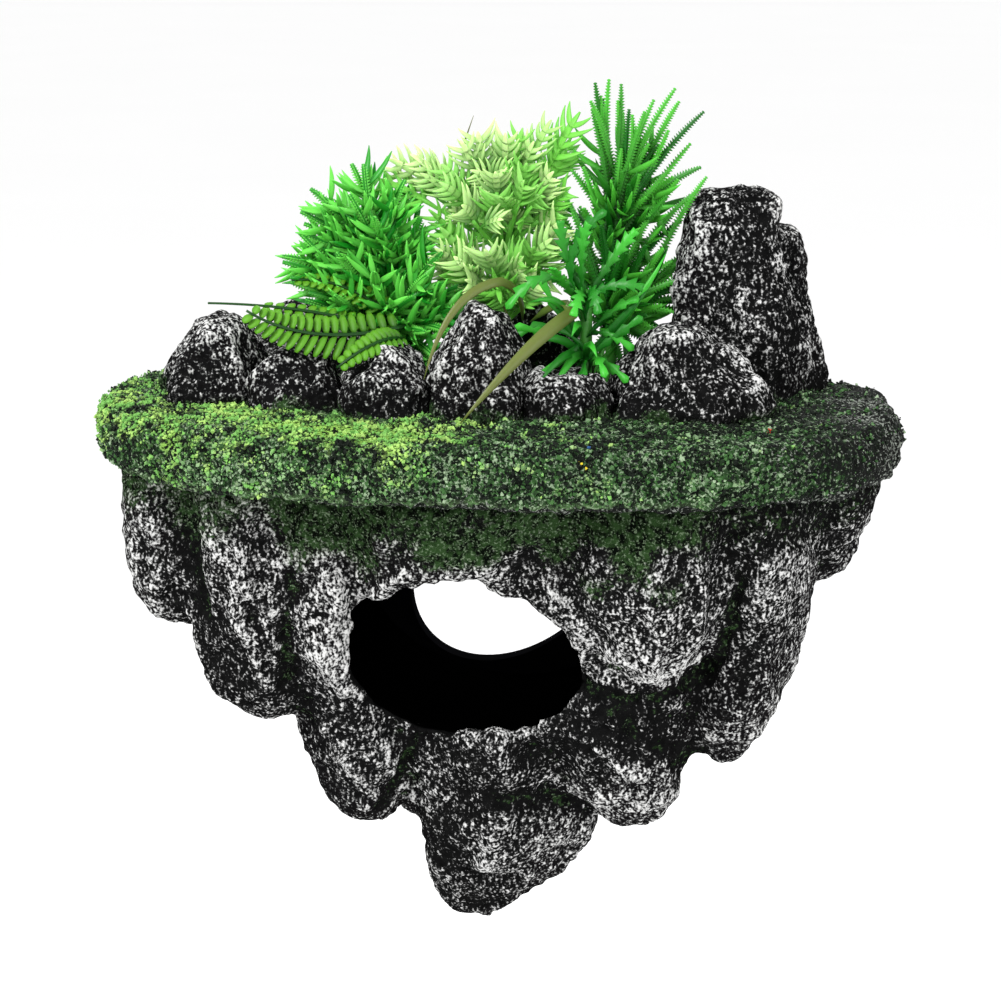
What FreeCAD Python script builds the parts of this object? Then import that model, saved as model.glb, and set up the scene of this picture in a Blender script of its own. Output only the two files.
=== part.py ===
"""Resin cave ornament for an aquarium: a mossy rock ledge with a cave below it.

Units are millimetres.  X runs to the right, Z up, and the glass is the plane
Y = 0 with the ornament on its -Y side.  The origin is the point of the glass
midway between the two upper suction cups.
"""
import FreeCAD, Part
import math
import os

os.makedirs("parts", exist_ok=True)
V = FreeCAD.Vector

# ---- driving dimensions -----------------------------------------------------
BACK_FACE = -6.0            # rear face of the back panel
PANEL_THICK = 5.0
PANEL_FRONT = BACK_FACE - PANEL_THICK
PANEL_SHARE = 0.95          # panel outline as a share of the rock's back

LEDGE_BOTTOM = 22.0
LEDGE_THICK = 15.0
LEDGE_TOP = LEDGE_BOTTOM + LEDGE_THICK
LEDGE_HALF = 100.0          # half width
LEDGE_MID_Y = -54.0         # widest line of the ledge
LEDGE_FRONT = 57.0          # depth in front of that line
LEDGE_REAR = 52.0           # depth behind it, before the flat back is cut
LEDGE_POWER = 2.5           # superellipse exponent of the outline
LEDGE_ROUND = 5.5           # rounding of the rim

HOLE_CENTRE = (-0.6, -18.4)     # rear window, X and Z
HOLE_LONG = 32.0            # half of its long axis
HOLE_SHORT = 23.4
HOLE_TILT = 45.0            # degrees, rising to the right

CUP_RADIUS = 20.0
CUP_PLUG_R = 3.95
CUP_BORE_R = 4.0
CUP_PLUG_LENGTH = 9.0
CUP_PLUG_TAPER = 0.8
CUP_BORE_DEPTH = 10.0       # through the panel and on into the rock
CUP_PLACES = {
    "suction_cup_left": (-58.0, 0.0),
    "suction_cup_right": (58.0, 0.0),
    "suction_cup_lower": (-5.0, -71.0),
}

PEG_R = 2.0                 # peg of a plant, in its socket in the ledge
SOCKET_R = 2.08
PEG_LENGTH = 11.8
SOCKET_DEPTH = 12.2
FLANGE_R = 3.2
FLANGE_THICK = 1.5
STEM_R = 1.5
COLLAR_R = 3.2              # sleeve that a whorl of leaves grows from
COLLAR_HEIGHT = 5.0
STEM_FOOT = LEDGE_TOP + FLANGE_THICK
BLADE_THICK = 1.0

RING_POINTS = 16
OVERRUN = 6.0               # how far a cutter runs past the face it opens

PLANTS = {                  # socket X, socket Y, top of the stem
    "fern": (-26.0, -51.0, 56.0),
    "needle_left": (-30.0, -38.0, 66.0),
    "lime": (0.0, -38.0, 72.0),
    "needle_right": (27.0, -40.0, 78.0),
    "curly": (22.0, -58.0, 62.0),
    "grass": (6.0, -52.0, 50.0),
}

# ---- rock lumps: each ring is (Z, centre X, centre Y, half width, half depth)
CORE = [
    (22, -1, -50, 82, 43), (4, -1, -50, 74, 40), (-18, 0, -50, 61, 36),
    (-38, 0, -48, 48, 30), (-56, 0, -44, 34, 25), (-74, -1, -40, 22, 21),
    (-86, -2, -36, 12, 15), (-90, -2, -34, 6, 9),
]
LOBES = {
    "far_left": [
        (22, -79, -60, 15, 21), (9, -80, -62, 12.5, 18), (-5, -80, -63, 11, 16),
        (-14, -80, -63, 8.5, 12), (-19, -80, -63, 4.5, 7),
    ],
    "left": [
        (22, -56, -68, 20, 24), (2, -57, -70, 17.5, 20), (-18, -57.5, -70, 16, 17),
        (-32, -58, -68, 13, 13), (-40, -58, -67, 8.5, 9), (-44, -58, -67, 4, 4),
    ],
    "left_of_mouth": [
        (22, -40, -68, 14, 24), (2, -40, -69, 11.5, 20), (-20, -40, -67, 11, 18),
        (-40, -37, -62, 13, 16), (-56, -35, -58, 13.5, 14), (-68, -34.5, -56, 11.5, 11),
        (-75, -33.5, -55, 6.5, 6),
    ],
    "above_mouth": [
        (22, -10, -74, 36, 27), (10, -10, -74, 34, 23), (-2, -10, -70, 31, 21),
        (-14, -8, -66, 28, 18), (-26, -8, -62, 24, 16),
    ],
    "bottom": [
        (-34, 2, -57, 28, 23), (-48, 1, -55, 26, 20), (-62, 1, -52, 24, 18),
        (-78, 1, -50, 22.5, 15), (-89, -1, -48, 19, 12), (-98, -5, -47, 12.5, 8.5),
        (-105, -8.5, -46, 5, 4),
    ],
    "right_of_bottom": [
        (-16, 35, -66, 16, 18), (-36, 33, -64, 18.5, 18), (-50, 32, -61, 18, 16),
        (-61, 33, -58, 14.5, 13), (-69, 35, -57, 9.5, 9), (-73, 36, -57, 5, 5),
    ],
    "overhang": [
        (22, 37, -78, 22, 21), (9, 37.5, -80, 20.5, 20), (-3, 38.5, -80, 19, 19),
        (-13, 39, -79, 16.5, 17), (-20, 39, -77, 11.5, 13), (-25, 39, -76, 6, 7),
    ],
    "right": [
        (22, 63, -62, 20, 27), (2, 64, -63, 15.5, 23), (-15, 62.5, -62, 14, 19),
        (-31, 61, -60, 12, 16), (-43, 59.5, -58, 9.5, 12), (-50, 58.5, -58, 6.5, 8),
        (-54, 58, -58, 3.5, 4),
    ],
    "far_right": [
        (22, 82, -52, 13.5, 22), (11, 81, -52, 11.5, 17), (1, 80, -51, 9.5, 13),
        (-5, 79.5, -51, 6.5, 8), (-8, 79, -51, 3, 4),
    ],
    "rear_left": [
        (22, -75, -32, 18, 22), (2, -72, -31, 17, 20), (-18, -67, -30, 15, 18),
        (-32, -63, -29, 11, 14), (-39, -61, -29, 5, 7),
    ],
    "rear_right": [
        (22, 76, -30, 16, 21), (3, 72, -30, 15, 19), (-16, 66, -29, 13, 17),
        (-29, 62, -29, 9, 12), (-35, 60, -29, 4, 6),
    ],
}
# flat back of the rock, as (X, Z) points, and its depth rows (Y, share of size)
REAR_OUTLINE = [
    (-84, 22), (-84, 4), (-80, -12), (-71, -28), (-61, -42), (-49, -56), (-41, -72),
    (-31, -86), (-19, -94), (-6, -95), (8, -89), (22, -80), (36, -68), (48, -54),
    (60, -40), (70, -24), (78, -8), (84, 6), (84, 22),
]
REAR_ROWS = [(PANEL_FRONT, 1.0), (-24.0, 0.97), (-38.0, 0.84)]
# ragged front mouth of the cave, as (X, Z) points
MOUTH = [
    (-17.5, -2), (-11.5, 0.5), (-5, 2), (-1, 3.5), (2, 0), (6.5, -3.5), (11.5, -6),
    (17, -9), (20.5, -13), (22.5, -20.5), (19.5, -27), (16, -32), (11.5, -35.5),
    (6, -38.5), (1, -40.5), (-6, -39.5), (-13, -37), (-19.5, -32), (-26, -34.5),
    (-31.5, -28), (-31, -21.5), (-32.5, -17.5), (-29.5, -12.5), (-25.5, -8), (-21, -4),
]
MOUTH_FRONT = -118.0
MOUTH_REAR = -58.0
# cave chamber: (Y, centre X, centre Z, half width, half height)
CHAMBER = [
    (PANEL_FRONT + OVERRUN, 0, -18, 40, 31), (-30, 0, -18, 42, 32),
    (-54, -1, -18, 41, 32), (-70, -3, -18, 36, 28), (-81, -5, -19, 29, 22),
    (-90, -5, -19, 18, 13),
]
STONES = {
    "stone_left": [
        (37, -71, -57, 13, 17), (45, -70.5, -56, 11.5, 15), (51, -69.5, -55, 9, 12),
        (55, -69, -54, 5.5, 7), (56.5, -69, -53, 2.5, 3),
    ],
    "stone_front_left": [
        (37, -47, -66, 15, 11.5), (43, -47.5, -66, 13.5, 10), (48, -48.5, -65, 9, 7),
        (50.5, -49, -64, 4, 3),
    ],
    "stone_front_middle": [
        (37, -24.5, -69.5, 11.5, 12.5), (44, -24.5, -69, 10.5, 11), (49.5, -24, -68, 7, 7.5),
        (51.5, -24, -67.5, 3, 3),
    ],
    "stone_front_peak": [
        (37, -3, -70, 13.5, 13), (48, -3.5, -69.5, 11.5, 11), (56, -3, -68.5, 8, 7.5),
        (61.5, -2.5, -67.5, 3.5, 3.5),
    ],
    "stone_front_low": [
        (37, 18, -71, 12, 10.5), (42.5, 18, -70.5, 11, 9), (46.5, 18, -70, 8, 5.5),
    ],
    "stone_front_right": [
        (37, 46, -66, 20.5, 14), (46, 45.5, -65.5, 18, 12.5), (53, 45.5, -65, 13.5, 9.5),
        (57, 45, -64, 7.5, 5.5), (58.5, 45, -64, 3.5, 2.5),
    ],
    "stone_crag": [
        (37, 59, -40, 18, 17), (50, 58, -41, 16, 15.5), (64, 56.5, -41.5, 14, 14),
        (76, 56, -42, 12.5, 12), (84.5, 57, -42, 10.5, 9.5), (88, 57.5, -42, 7, 6),
    ],
    "stone_rear_right": [
        (37, 70, -27, 13, 12.5), (48, 68.5, -27, 11, 11.5), (60, 67, -27, 9.5, 10),
        (70, 66, -27, 7.5, 8), (77, 66, -27, 4, 4.5),
    ],
    "stone_rear_left": [
        (37, -52, -27, 19, 13), (45, -52, -26.5, 16, 11), (51, -52, -26, 10, 8),
        (54, -52, -26, 4, 3.5),
    ],
    "stone_rear_middle": [
        (37, 2, -20, 21, 9.5), (47, 1, -19.5, 17, 8), (55, 0, -19, 11, 6), (58, 0, -19, 5, 3),
    ],
}
# leaves of each whorl: points (X, Y, Z) from the stem outward, then the width
FRONDS = {
    "fern_fronds": [
        ([(-31, -59, 54), (-40, -66, 60), (-48, -70, 61), (-57, -73, 57)], 9.0),
        ([(-31, -53, 60), (-43, -57, 66), (-56, -60, 65), (-69, -62, 61)], 6.0),
        ([(-25, -57, 60), (-26, -62, 63), (-26, -68, 62)], 6.0),
    ],
    "needle_left_lower_whorl": [
        ([(-36, -40, 52), (-46, -42, 62), (-55, -44, 66)], 6.0),
        ([(-33, -43, 54), (-40, -48, 68), (-46, -49, 79)], 6.0),
        ([(-28, -34, 53), (-26, -28, 63), (-27, -23, 66)], 6.0),
        ([(-36, -35, 54), (-44, -33, 66), (-50, -31, 72)], 6.0),
        ([(-25, -42, 54), (-19, -45, 68), (-14, -47, 72)], 6.0),
    ],
    "needle_left_upper_whorl": [
        ([(-32, -38, 70), (-38, -38, 81), (-44, -38, 87)], 6.0),
        ([(-30, -40, 72), (-33, -42, 83), (-34, -44, 93)], 6.0),
        ([(-28, -38, 71), (-23, -38, 82), (-20, -38, 92)], 6.0),
        ([(-30, -35, 71), (-31, -29, 81), (-32, -25, 86)], 6.0),
    ],
    "lime_lower_whorl": [
        ([(-4, -39, 56), (-9, -42, 68), (-11, -43, 80)], 8.0),
        ([(3, -41, 57), (8, -44, 68), (11, -45, 78)], 8.0),
        ([(0, -34, 56), (0, -29, 66), (1, -26, 74)], 8.0),
        ([(0, -43, 57), (-1, -48, 66), (-2, -50, 76)], 8.0),
    ],
    "lime_upper_whorl": [
        ([(-2, -38, 76), (-7, -39, 88), (-9, -39, 100)], 8.0),
        ([(2, -38, 77), (7, -38, 88), (10, -38, 101)], 8.0),
        ([(0, -40, 77), (1, -43, 88), (2, -45, 98)], 8.0),
        ([(0, -36, 76), (-1, -31, 86), (0, -28, 94)], 8.0),
    ],
    "needle_right_lower_whorl": [
        ([(24, -41, 58), (19, -43, 72), (17, -44, 86)], 6.0),
        ([(30, -42, 58), (35, -45, 72), (37, -47, 84)], 6.0),
        ([(27, -36, 57), (26, -31, 68), (24, -27, 78)], 6.0),
        ([(27, -43, 59), (26, -47, 72), (25, -49, 84)], 6.0),
    ],
    "needle_right_upper_whorl": [
        ([(26, -40, 80), (23, -41, 96), (22, -42, 112)], 6.0),
        ([(29, -40, 80), (33, -41, 96), (38, -42, 111)], 6.0),
        ([(28, -42, 81), (30, -45, 93), (32, -48, 103)], 6.0),
        ([(27, -38, 80), (27, -33, 92), (28, -29, 102)], 6.0),
    ],
    "curly_lower_whorl": [
        ([(18, -60, 46), (16, -63, 55), (15, -65, 62)], 7.0),
        ([(26, -59, 50), (30, -61, 59), (32, -62, 66)], 7.0),
        ([(23, -62, 46), (25, -66, 53), (26, -67, 60)], 7.0),
    ],
    "curly_upper_whorl": [
        ([(20, -59, 64), (17, -61, 72), (15, -62, 80)], 7.0),
        ([(24, -59, 64), (27, -60, 75), (28, -60, 85)], 7.0),
        ([(22, -61, 64), (22, -65, 71), (23, -66, 77)], 7.0),
    ],
    "grass_blades": [
        ([(4, -56, 60), (-1, -61, 67), (-7, -68, 65), (-13, -76, 58), (-17, -81, 48)], 3.4),
        ([(9, -57, 55), (13, -66, 61), (11, -75, 58), (5, -82, 50), (-4, -86, 42)], 3.4),
        ([(2, -53, 58), (-5, -53, 72), (-11, -53, 86), (-12, -53, 103)], 2.4),
    ],
}
WHORLS = {                  # plant, bottom of the collar
    "fern_fronds": ("fern", 51.0),
    "needle_left_lower_whorl": ("needle_left", 48.0),
    "needle_left_upper_whorl": ("needle_left", 61.0),
    "lime_lower_whorl": ("lime", 52.0),
    "lime_upper_whorl": ("lime", 67.0),
    "needle_right_lower_whorl": ("needle_right", 54.0),
    "needle_right_upper_whorl": ("needle_right", 73.0),
    "curly_lower_whorl": ("curly", 42.0),
    "curly_upper_whorl": ("curly", 57.0),
    "grass_blades": ("grass", 45.0),
}


# ---- geometry helpers -------------------------------------------------------
def facet_solid(rings):
    """Close a stack of equal rings into one solid with flat ends."""
    count = len(rings[0])
    points = [point for ring in rings for point in ring]
    facets = []
    for level in range(len(rings) - 1):
        for i in range(count):
            low = level * count + i
            low_next = level * count + (i + 1) % count
            facets.append((low, low_next, low_next + count))
            facets.append((low, low_next + count, low + count))
    top = (len(rings) - 1) * count
    for ring, start, flip in ((rings[0], 0, True), (rings[-1], top, False)):
        centre = V(0, 0, 0)
        for point in ring:
            centre = centre + point
        middle = len(points)
        points.append(centre * (1.0 / count))
        for i in range(count):
            pair = (start + i, start + (i + 1) % count)
            facets.append((middle, pair[1], pair[0]) if flip else (middle, pair[0], pair[1]))
    shape = Part.Shape()
    shape.makeShapeFromMesh((points, facets), 0.001)
    solid = Part.makeSolid(shape)
    if solid.Volume < 0:
        solid.reverse()
    return solid.removeSplitter()


def rough(angle, seed):
    """Uneven radius of a rock ring, as a factor near one."""
    wave = 0.055 * math.sin(3 * angle + 1.7 * seed) + 0.04 * math.sin(5 * angle - 2.3 * seed)
    return 1.0 + wave


def rock(rows, seed):
    """A lump of rock from rows of (Z, centre X, centre Y, half width, half depth)."""
    rings = []
    for level, (z, x, y, wide, deep) in enumerate(rows):
        ring = []
        for i in range(RING_POINTS):
            angle = 2 * math.pi * i / RING_POINTS
            size = rough(angle, seed + 0.25 * level)
            ring.append(V(x + wide * size * math.cos(angle), y + deep * size * math.sin(angle), z))
        rings.append(ring)
    if rows[0][0] > rows[-1][0]:
        rings.reverse()
    return facet_solid(rings)


def tube_along_y(rows, count):
    """A smooth-walled chamber from rows of (Y, centre X, centre Z, half width, half height)."""
    rings = []
    for y, x, z, wide, high in rows:
        ring = []
        for i in range(count):
            angle = 2 * math.pi * i / count
            ring.append(V(x + wide * math.cos(angle), y, z + high * math.sin(angle)))
        rings.append(ring)
    return facet_solid(rings)


def prism_along_y(outline, y_start, y_end):
    """A straight prism between two Y planes over an (X, Z) outline."""
    points = [V(x, y_start, z) for x, z in outline]
    face = Part.Face(Part.makePolygon(points + points[:1]))
    return face.extrude(V(0, y_end - y_start, 0))


def box(x, y, z):
    """A box from three (low, high) pairs."""
    return Part.makeBox(x[1] - x[0], y[1] - y[0], z[1] - z[0], V(x[0], y[0], z[0]))


def rod(radius, start, end):
    """A cylinder from one point to another."""
    axis = end - start
    return Part.makeCylinder(radius, axis.Length, start, axis)


def blade(path, width):
    """A thin tapering leaf that follows a path of (X, Y, Z) points."""
    points = [V(*p) for p in path]
    rings = []
    for i, point in enumerate(points):
        along = (points[min(i + 1, len(points) - 1)] - points[max(i - 1, 0)]).normalize()
        side = along.cross(V(0.2, -1, 0.3)).normalize()
        thick = side.cross(along)
        share = i / (len(points) - 1)
        half = 0.5 * width * (0.45 if i == 0 else 1.0 - 0.75 * share ** 2)
        half_thick = 0.5 * BLADE_THICK
        rings.append([
            point + side * half + thick * half_thick,
            point - side * half + thick * half_thick,
            point - side * half - thick * half_thick,
            point + side * half - thick * half_thick,
        ])
    return facet_solid(rings)


# ---- pieces -----------------------------------------------------------------
def ledge():
    """The oval rim that the stones and the plants stand on, with a flat back."""
    points = []
    steps = 48
    for i in range(steps):
        angle = 2 * math.pi * i / steps
        cos = math.cos(angle)
        sin = math.sin(angle)
        x = LEDGE_HALF * math.copysign(abs(cos) ** (2 / LEDGE_POWER), cos)
        depth = LEDGE_REAR if sin > 0 else LEDGE_FRONT
        y = LEDGE_MID_Y + depth * math.copysign(abs(sin) ** (2 / LEDGE_POWER), sin)
        points.append(V(x, y, LEDGE_BOTTOM))
    rings = []
    for z, inset in rim_profile():
        scale = 1.0 - inset / LEDGE_HALF
        scale_y = 1.0 - inset / LEDGE_FRONT
        ring = []
        for point in points:
            y = LEDGE_MID_Y + (point.y - LEDGE_MID_Y) * scale_y
            ring.append(V(point.x * scale, y, z))
        rings.append(ring)
    body = facet_solid(rings)
    behind = box((-120, 120), (BACK_FACE, 20), (LEDGE_BOTTOM - 1, LEDGE_TOP + 1))
    body = body.cut(behind)
    for x, y, _ in PLANTS.values():
        body = body.cut(rod(SOCKET_R, V(x, y, LEDGE_TOP - SOCKET_DEPTH), V(x, y, LEDGE_TOP + 1)))
    return body


def rim_profile():
    """Height and inset of the rim, from the underside to the top."""
    rows = []
    for step in range(4):
        angle = math.pi / 2 * step / 3
        rows.append((LEDGE_BOTTOM + LEDGE_ROUND * (1 - math.cos(angle)),
                     LEDGE_ROUND * (1 - math.sin(angle))))
    for step in range(4):
        angle = math.pi / 2 * step / 3
        rows.append((LEDGE_TOP - LEDGE_ROUND * (1 - math.sin(angle)),
                     LEDGE_ROUND * (1 - math.cos(angle))))
    return rows


def shrunk(outline, share):
    """An (X, Z) outline scaled towards the middle of its top edge."""
    return [(x * share, LEDGE_BOTTOM + (z - LEDGE_BOTTOM) * share) for x, z in outline]


def rear_mass():
    """The thick back of the rock, with a flat rear face."""
    rings = []
    for y, share in REAR_ROWS:
        rings.append([V(x, y, z) for x, z in shrunk(REAR_OUTLINE, share)])
    return facet_solid(rings)


def cave_shell():
    """The hanging rock: lobes on a core, hollowed by the cave and its mouth."""
    lumps = [rock(rows, seed) for seed, rows in enumerate(LOBES.values())]
    lumps.append(rear_mass())
    body = rock(CORE, 40).multiFuse(lumps)
    body = body.cut(box((-150, 150), (PANEL_FRONT, 60), (-150, 60)))
    body = body.cut(tube_along_y(CHAMBER, 32))
    body = body.cut(prism_along_y(MOUTH, MOUTH_FRONT, MOUTH_REAR))
    for x, z in CUP_PLACES.values():
        deep = V(x, BACK_FACE - CUP_BORE_DEPTH, z)
        body = body.cut(rod(CUP_BORE_R, deep, V(x, PANEL_FRONT + 1, z)))
    return body.removeSplitter()


def back_panel():
    """The flat back, with the oval window and three bores for the suction cups."""
    points = [V(x, PANEL_FRONT, z) for x, z in shrunk(REAR_OUTLINE, PANEL_SHARE)]
    curve = Part.BSplineCurve()
    curve.interpolate(points)
    edges = [curve.toShape(), Part.LineSegment(points[-1], points[0]).toShape()]
    body = Part.Face(Part.Wire(edges)).extrude(V(0, PANEL_THICK, 0))
    tilt = math.radians(HOLE_TILT)
    centre = V(HOLE_CENTRE[0], PANEL_FRONT - 1, HOLE_CENTRE[1])
    long_axis = V(math.cos(tilt), 0, math.sin(tilt))
    short_axis = V(-math.sin(tilt), 0, math.cos(tilt))
    ellipse = Part.Ellipse(centre + long_axis * HOLE_LONG, centre + short_axis * HOLE_SHORT, centre)
    window = Part.Face(Part.Wire(ellipse.toShape())).extrude(V(0, PANEL_THICK + 2, 0))
    body = body.cut(window)
    for x, z in CUP_PLACES.values():
        body = body.cut(rod(CUP_BORE_R, V(x, PANEL_FRONT - 1, z), V(x, BACK_FACE + 1, z)))
    return body


def stones():
    """The stones on the ledge, each trimmed where it meets the one before it."""
    made = {}
    for seed, (name, rows) in enumerate(STONES.items()):
        body = rock(rows, 11 + seed)
        for other in made.values():
            if body.BoundBox.intersect(other.BoundBox):
                body = body.cut(other)
        made[name] = body.removeSplitter()
    return made


def suction_cup(x, z):
    """A soft cup turned about its plug, with its rim on the glass plane."""
    plug_end = BACK_FACE - CUP_PLUG_LENGTH
    profile = [
        (0, plug_end), (CUP_PLUG_R - CUP_PLUG_TAPER, plug_end),
        (CUP_PLUG_R, plug_end + CUP_PLUG_TAPER), (CUP_PLUG_R, BACK_FACE), (7.5, BACK_FACE),
        (9, -4.6), (13.5, -3.4), (17.5, -1.9), (CUP_RADIUS, -0.6), (CUP_RADIUS, 0), (18.6, 0),
        (15, -0.9), (10, -2.0), (5, -2.8), (0, -3.0),
    ]
    points = [V(x + r, y, z) for r, y in profile]
    face = Part.Face(Part.makePolygon(points + points[:1]))
    return face.revolve(V(x, 0, z), V(0, 1, 0), 360)


def stem(plant):
    """The peg, flange and stem that carry one plant."""
    x, y, top = PLANTS[plant]
    peg = rod(PEG_R, V(x, y, LEDGE_TOP - PEG_LENGTH), V(x, y, LEDGE_TOP))
    flange = rod(FLANGE_R, V(x, y, LEDGE_TOP), V(x, y, STEM_FOOT))
    post = rod(STEM_R, V(x, y, STEM_FOOT - 0.5), V(x, y, top))
    return peg.multiFuse([flange, post]).removeSplitter()


def whorl(name):
    """A sleeve on a stem with its leaves."""
    plant, low = WHORLS[name]
    x, y, _ = PLANTS[plant]
    body = rod(COLLAR_R, V(x, y, low), V(x, y, low + COLLAR_HEIGHT))
    leaves = []
    for path, width in FRONDS[name]:
        start = (x, y, low + 0.5 * COLLAR_HEIGHT)
        leaves.append(blade([start] + path, width))
    body = body.multiFuse(leaves)
    return body.cut(rod(STEM_R, V(x, y, low - 30), V(x, y, PLANTS[plant][2]))).removeSplitter()


# ---- build ------------------------------------------------------------------
parts = {"ledge": ledge(), "cave_shell": cave_shell(), "back_panel": back_panel()}
parts.update(stones())
for name, (x, z) in CUP_PLACES.items():
    parts[name] = suction_cup(x, z)
for plant in PLANTS:
    parts[plant + "_stem"] = stem(plant)
for name in WHORLS:
    parts[name] = whorl(name)

for name, shape in parts.items():
    shape.exportStep("parts/" + name + ".step")
    size = shape.BoundBox
    print(name, "solids", len(shape.Solids), "faces", len(shape.Faces), "valid", shape.isValid(),
          "cm3 %.2f" % (shape.Volume / 1000), "box %.0f %.0f %.0f to %.0f %.0f %.0f" % (
              size.XMin, size.YMin, size.ZMin, size.XMax, size.YMax, size.ZMax))
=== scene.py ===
"""Looks of a hanging rock ornament: mossy rock, plastic plants and suction cups."""
import math
import random

import bpy
import numpy as np
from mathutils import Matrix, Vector

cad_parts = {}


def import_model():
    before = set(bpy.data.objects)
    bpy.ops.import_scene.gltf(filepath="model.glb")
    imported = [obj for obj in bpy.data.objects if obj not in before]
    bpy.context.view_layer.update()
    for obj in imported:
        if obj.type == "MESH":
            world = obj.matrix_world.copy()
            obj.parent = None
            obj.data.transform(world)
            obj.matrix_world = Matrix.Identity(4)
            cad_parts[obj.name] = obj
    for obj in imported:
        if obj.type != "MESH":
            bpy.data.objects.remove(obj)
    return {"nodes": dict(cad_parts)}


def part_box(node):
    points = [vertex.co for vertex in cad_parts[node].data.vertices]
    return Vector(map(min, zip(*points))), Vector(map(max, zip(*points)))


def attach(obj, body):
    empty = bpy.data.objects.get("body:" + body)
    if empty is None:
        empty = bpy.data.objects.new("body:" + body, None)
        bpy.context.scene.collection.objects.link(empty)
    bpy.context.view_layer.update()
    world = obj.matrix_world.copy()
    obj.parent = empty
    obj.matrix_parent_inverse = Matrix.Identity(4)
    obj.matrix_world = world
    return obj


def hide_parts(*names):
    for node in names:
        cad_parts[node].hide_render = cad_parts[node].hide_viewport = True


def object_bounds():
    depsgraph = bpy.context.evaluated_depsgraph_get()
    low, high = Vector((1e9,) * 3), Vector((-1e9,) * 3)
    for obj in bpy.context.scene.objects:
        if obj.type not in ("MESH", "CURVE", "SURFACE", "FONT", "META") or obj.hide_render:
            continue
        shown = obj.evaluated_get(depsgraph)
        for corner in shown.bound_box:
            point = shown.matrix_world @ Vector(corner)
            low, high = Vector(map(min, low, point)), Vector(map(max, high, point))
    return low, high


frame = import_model()
cad_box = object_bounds()

MM = 0.001
X, Y, Z = 0, 1, 2

# ---- fineness ----
SHELL_VOXEL = 1.00 * MM
STONE_VOXEL = 0.75 * MM
LEDGE_VOXEL = 0.85 * MM
CLEFT_FILL = 2.2 * MM
FLAKE_COUNT = 20000
FLAKES_PER_DAB = 5
SOCKET_CLEAR = 4.5 * MM

# ---- shape and paint ----
RIM_INSET = 1.9 * MM     # room left at the rim for tufts and flakes
FLAT_PRESS = 0.88        # share of a stone's bulge that a flat takes away
LOBE_PAIRS = 4
DRYBRUSH_AND_SHADE_RANGE = (-0.5, 0.66)
CAVE_SHADE_MARK = 3.0          # taken from the grain level and the moss inside the cave, far below any outside value, so the cave wall is painted darker than the rock's own black as painted shade, and bare of white grains and moss

# ---- places shared with the frame ----
LEDGE_LOW, LEDGE_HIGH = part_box("ledge")
LEDGE_TOP = LEDGE_HIGH.z
LEDGE_BOTTOM = LEDGE_LOW.z
_, SHELL_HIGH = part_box("cave_shell")
REAR_FACE = SHELL_HIGH.y
BACK_Y = LEDGE_HIGH.y
# plant sockets in the ledge: X, Y
SOCKETS = [(-26, -51), (-30, -38), (0, -38), (27, -40), (22, -58), (6, -52)]
# inner wall of the cave: Y, centre X, centre Z, half width, half height
CAVE_WALL = [
    (-90, -5, -19, 18, 13), (-81, -5, -19, 29, 22), (-70, -3, -18, 36, 28),
    (-54, -1, -18, 41, 32), (-30, 0, -18, 42, 32), (-5, 0, -18, 40, 31),
]
# bare ridges on the front: points (X, Z), half width, height
SHELL_RIDGES = [
    ([(-86, 10), (-87, 0), (-86, -8), (-82, -15)], 1.8, 0.9),
    ([(-81, 9), (-83, 3), (-81, -5)], 2.0, 1.2),
    ([(-66, 11), (-60, 0), (-61, -5), (-57, -18), (-55, -30)], 1.6, 1.6),
    ([(-62, 11), (-56, 1), (-57, -4)], 1.7, 1.4),
    ([(-52, -10), (-54, -20), (-50, -24)], 2.2, 1.3),
    ([(-65, -32), (-59, -38), (-49, -37)], 2.6, 0.8),
    ([(-36, 0), (-34, -7), (-37, -15), (-38, -26), (-35, -31)], 1.9, 1.7),
    ([(-13, 3), (-18, 2), (-22, -2), (-29, -7), (-33, -15), (-34, -27), (-28, -35)], 1.5, 1.8),
    ([(-30, 0), (-28, -5)], 1.5, 1.2),
    ([(-37, -48), (-35, -57), (-29, -65), (-25, -67)], 1.8, 1.2),
    ([(-27, -38), (-27, -48), (-25, -62), (-21, -67)], 2.0, 1.2),
    ([(-19, -79), (-16, -88), (-9, -95)], 2.0, 1.1),
    ([(3, -47), (6, -61), (-1, -73), (-3, -84)], 2.6, 1.2),
    ([(13, -39), (21, -42), (29, -48), (39, -54)], 1.9, 1.3),
    ([(16, -58), (24, -63), (34, -65), (42, -62)], 2.4, 0.9),
    ([(16, 1), (23, -9), (26, -16), (35, -21), (46, -22), (54, -17), (57, -9)], 1.9, 1.1),
    ([(45, -30), (51, -38), (58, -45), (64, -43), (68, -33)], 2.2, 1.0),
    ([(22, -16), (19, -28), (12, -37), (2, -42)], 1.6, 0.9),
]
# hollows between the lobes, pressed in and given painted shade as fewer white grains and dark moss: points
# (X, Z), half width, depth
SHELL_CLEFTS = [
    ([(19, -24), (26, -30), (36, -31), (45, -31), (50, -28), (56, -23), (58, -16), (59, -6), (63, 3)],
     1.9, 2.0),
    ([(30, -34), (40, -36), (48, -34)], 3.4, 0.9),
    ([(35, -39), (40, -44), (46, -49), (50, -54)], 3.6, 1.3),
    ([(-72, 14), (-71, 5), (-70, -6), (-70, -13)], 2.6, 1.6),
    ([(-46, 0), (-47, -10), (-50, -24), (-49, -33)], 2.2, 1.3),
    ([(-29, -66), (-22, -57), (-19, -48), (-17, -42)], 2.0, 1.4),
    ([(3, -62), (14, -64), (22, -68)], 3.2, 1.0),
    ([(-44, -36), (-46, -44), (-44, -50)], 1.8, 0.9),
]
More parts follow.
